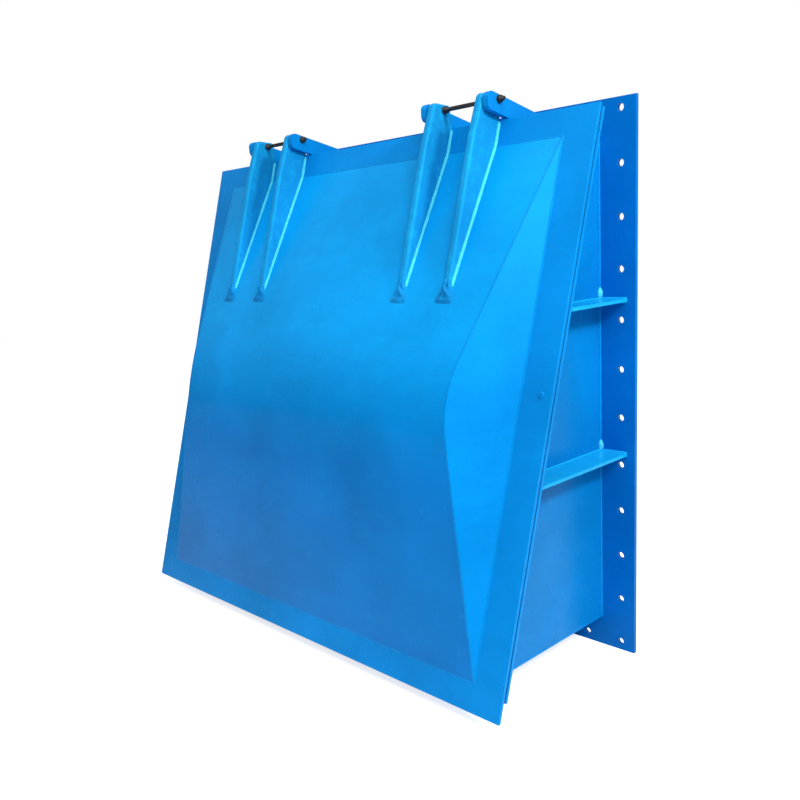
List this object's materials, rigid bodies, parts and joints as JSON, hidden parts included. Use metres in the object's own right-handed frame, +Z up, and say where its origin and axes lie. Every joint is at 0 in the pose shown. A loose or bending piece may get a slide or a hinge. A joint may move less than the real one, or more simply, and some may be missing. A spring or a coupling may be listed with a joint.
{
  "type": "top-hinged flap sluice gate",
  "caption": "Welded steel sluice gate: a bulged flap leaf hung from paired arms closes the sloping mouth of a box that bolts to a wall by its flange.",
  "frame": {"origin": "middle of the wall flange's back face, at its bottom edge", "axes": "+Z up, +Y into the wall along the flow path against the discharge, X across the gate; the leaf faces -Y"},
  "size_m": [2.24, 0.8239, 2.1049],
  "materials": {
    "gate_enamel": "glossy blue enamel over welded plate",
    "seal_rubber": "matt black rubber strip",
    "shaft_steel": "oiled dark steel bar"
  },
  "bodies": {
    "housing": {"flange_bottom": "gate_enamel", "flange_top": "gate_enamel", "flange_left": "gate_enamel", "flange_right": "gate_enamel", "bottom_plate": "gate_enamel", "top_plate": "gate_enamel", "side_wall_left": "gate_enamel", "side_wall_right": "gate_enamel", "seat_top": "gate_enamel", "seat_bottom": "gate_enamel", "seat_left": "gate_enamel", "seat_right": "gate_enamel", "seal_top": "seal_rubber", "seal_bottom": "seal_rubber", "seal_left": "seal_rubber", "seal_right": "seal_rubber", "rib_lower_left": "gate_enamel", "rib_lower_right": "gate_enamel", "rib_upper_left": "gate_enamel", "rib_upper_right": "gate_enamel", "lug_left_inner": "gate_enamel", "lug_left_outer": "gate_enamel", "lug_right_inner": "gate_enamel", "lug_right_outer": "gate_enamel", "shaft_left": "shaft_steel", "shaft_right": "shaft_steel"},
    "leaf": {"leaf_plate": "gate_enamel", "skin": "gate_enamel", "end_facet_left": "gate_enamel", "end_facet_right": "gate_enamel", "border_plug_left": "gate_enamel", "border_plug_right": "gate_enamel", "arm_left_inner": "gate_enamel", "arm_left_outer": "gate_enamel", "arm_right_inner": "gate_enamel", "arm_right_outer": "gate_enamel"}
  },
  "joints": [
    {"name": "leaf_hinge", "type": "hinge", "parent": "housing", "child": "leaf", "pos_m": [0, -0.23982, 2.07971], "axis": [-1, 0, 0], "range_deg": [0, 70]}
  ]
}
